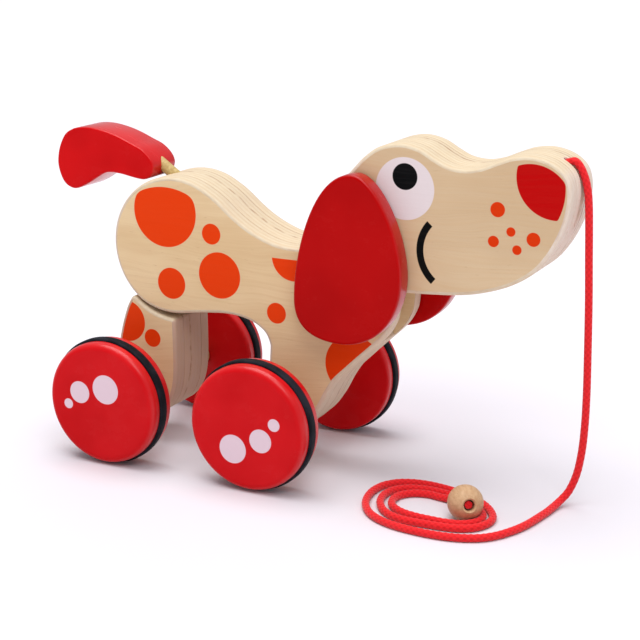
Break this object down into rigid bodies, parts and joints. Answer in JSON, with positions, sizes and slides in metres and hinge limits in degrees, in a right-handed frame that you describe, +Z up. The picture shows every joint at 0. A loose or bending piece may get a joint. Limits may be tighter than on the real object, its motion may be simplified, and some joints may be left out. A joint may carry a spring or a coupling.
{
  "type": "pull-along toy dog",
  "caption": "Pull-along wooden dog: laminated body, nodding head, loose ears, swinging hind leg, rubber-tyred wheels, and a cord with a wooden bead.",
  "frame": {"origin": "centre of the dog's bounding box, without the cord, at the floor that the tyres stand on", "axes": "+X to the nose, +Y to the dog's left, +Z up"},
  "size_m": [0.2391, 0.1039, 0.14],
  "materials": {
    "wood": "satin clear varnish",
    "wood_core": "satin clear varnish, ply edges showing",
    "wood_dowel": "bare turned wood",
    "wood_bead": "polished wood",
    "red_board": "glossy red paint on wood",
    "red_wheel": "glossy red paint on wood",
    "rubber": "matt black rubber",
    "cord": "braided cord"
  },
  "bodies": {
    "body": {"body_core": "wood_core", "body_side_right": "wood", "body_side_left": "wood", "hind_leg_pin": "wood_dowel", "neck_pin": "wood_dowel", "tail_peg": "wood_dowel", "pull_cord_loops": "cord", "pull_bead": "wood_bead"},
    "hind_leg": {"hind_leg_core": "wood_core", "hind_leg_side_right": "wood", "hind_leg_side_left": "wood"},
    "head": {"head_core": "wood_core", "head_cheek_right": "wood", "head_cheek_left": "wood", "ear_pin": "wood_dowel", "pull_cord": "cord"},
    "ear_right": {"ear_right": "red_board"},
    "ear_left": {"ear_left": "red_board"},
    "tail": {"tail": "red_board"},
    "front_axle": {"front_axle": "wood_dowel", "front_wheel_right": "red_wheel", "front_wheel_left": "red_wheel", "front_tyre_right": "rubber", "front_tyre_left": "rubber", "front_spacer_right": "wood_dowel", "front_spacer_left": "wood_dowel"},
    "rear_axle": {"rear_axle": "wood_dowel", "rear_wheel_right": "red_wheel", "rear_wheel_left": "red_wheel", "rear_tyre_right": "rubber", "rear_tyre_left": "rubber", "rear_spacer_right": "wood_dowel", "rear_spacer_left": "wood_dowel"}
  },
  "joints": [
    {"name": "hind_leg_swing", "type": "hinge", "parent": "body", "child": "hind_leg", "pos_m": [-0.05463, 0, 0.0885], "axis": [0, -1, 0], "range_deg": [0, 12]},
    {"name": "head_nod", "type": "hinge", "parent": "body", "child": "head", "pos_m": [0.03187, 0, 0.095], "axis": [0, -1, 0], "range_deg": [0, 15]},
    {"name": "ear_right_swing", "type": "hinge", "parent": "head", "child": "ear_right", "pos_m": [0.03137, -0.0186, 0.118], "axis": [0, -1, 0], "range_deg": [-40, 40]},
    {"name": "ear_left_swing", "type": "hinge", "parent": "head", "child": "ear_left", "pos_m": [0.03137, 0.0186, 0.118], "axis": [0, -1, 0], "range_deg": [-55, 25]},
    {"name": "tail_swivel", "type": "hinge", "parent": "body", "child": "tail", "pos_m": [-0.06273, 0, 0.1173], "axis": [-0.829, 0, 0.5592], "range_deg": [-20, 20]},
    {"name": "front_axle_spin", "type": "hinge", "parent": "body", "child": "front_axle", "pos_m": [-0.00263, 0, 0.027], "axis": [0, 1, 0], "continuous": true},
    {"name": "rear_axle_spin", "type": "hinge", "parent": "hind_leg", "child": "rear_axle", "pos_m": [-0.07163, 0, 0.027], "axis": [0, 1, 0], "continuous": true}
  ]
}
